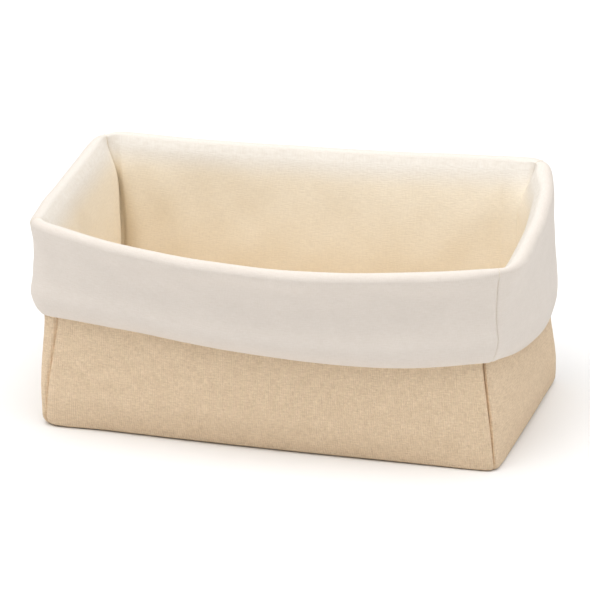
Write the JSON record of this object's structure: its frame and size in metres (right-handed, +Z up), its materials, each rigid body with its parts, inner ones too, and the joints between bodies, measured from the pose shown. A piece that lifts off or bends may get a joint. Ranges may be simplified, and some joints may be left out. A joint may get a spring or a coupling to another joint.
{
  "type": "fabric storage bin",
  "caption": "Soft rectangular open-top fabric bin: ribbed beige knit shell, padded cream lining turned down outside as a deep cuff, stiff floor.",
  "frame": {"origin": "middle of the underside of the floor", "axes": "+X to the bin's right along its long side, -Y to its front, +Z up out of its open top"},
  "size_m": [0.3513, 0.2359, 0.1583],
  "materials": {
    "shell_knit": "matte fine-ribbed melange knit, warm beige",
    "lining_jersey": "matte jersey, cream",
    "cuff_jersey": "matte jersey over wadding, off-white cream",
    "wadding": "white polyester wadding",
    "board": "grey-brown pressed fibre board",
    "shell_thread": "beige sewing thread",
    "lining_thread": "cream sewing thread"
  },
  "bodies": {
    "basket": {"back_wadding": "wadding", "base_board": "board", "front_wadding": "wadding", "left_wadding": "wadding", "lining_back_left_seam": "lining_thread", "lining_back_panel": "lining_jersey", "lining_back_right_seam": "lining_thread", "lining_base_panel": "lining_jersey", "lining_base_seam": "lining_thread", "lining_front_left_seam": "lining_thread", "lining_front_panel": "lining_jersey", "lining_front_right_seam": "lining_thread", "lining_left_panel": "lining_jersey", "lining_right_panel": "lining_jersey", "outer_back_left_seam": "shell_thread", "outer_back_panel": "shell_knit", "outer_back_right_seam": "shell_thread", "outer_base_panel": "shell_knit", "outer_base_seam": "shell_thread", "outer_front_left_seam": "shell_thread", "outer_front_panel": "shell_knit", "outer_front_right_seam": "shell_thread", "outer_left_panel": "shell_knit", "outer_right_panel": "shell_knit", "right_wadding": "wadding"},
    "cuff": {"cuff_back": "cuff_jersey", "cuff_back_backing": "shell_knit", "cuff_back_left_seam": "lining_thread", "cuff_back_right_seam": "lining_thread", "cuff_back_wadding": "wadding", "cuff_front": "cuff_jersey", "cuff_front_backing": "shell_knit", "cuff_front_left_seam": "lining_thread", "cuff_front_right_seam": "lining_thread", "cuff_front_wadding": "wadding", "cuff_hem_seam": "lining_thread", "cuff_left": "cuff_jersey", "cuff_left_backing": "shell_knit", "cuff_left_wadding": "wadding", "cuff_right": "cuff_jersey", "cuff_right_backing": "shell_knit", "cuff_right_wadding": "wadding"}
  },
  "joints": [
    {"name": "cuff_unroll", "type": "slide", "parent": "basket", "child": "cuff", "axis": [0, 0, 1], "range_m": [0, 0.028], "deforming": ["cuff_back", "cuff_back_backing", "cuff_back_left_seam", "cuff_back_right_seam", "cuff_back_wadding", "cuff_front", "cuff_front_backing", "cuff_front_left_seam", "cuff_front_right_seam", "cuff_front_wadding", "cuff_hem_seam", "cuff_left", "cuff_left_backing", "cuff_left_wadding", "cuff_right", "cuff_right_backing", "cuff_right_wadding"]}
  ]
}
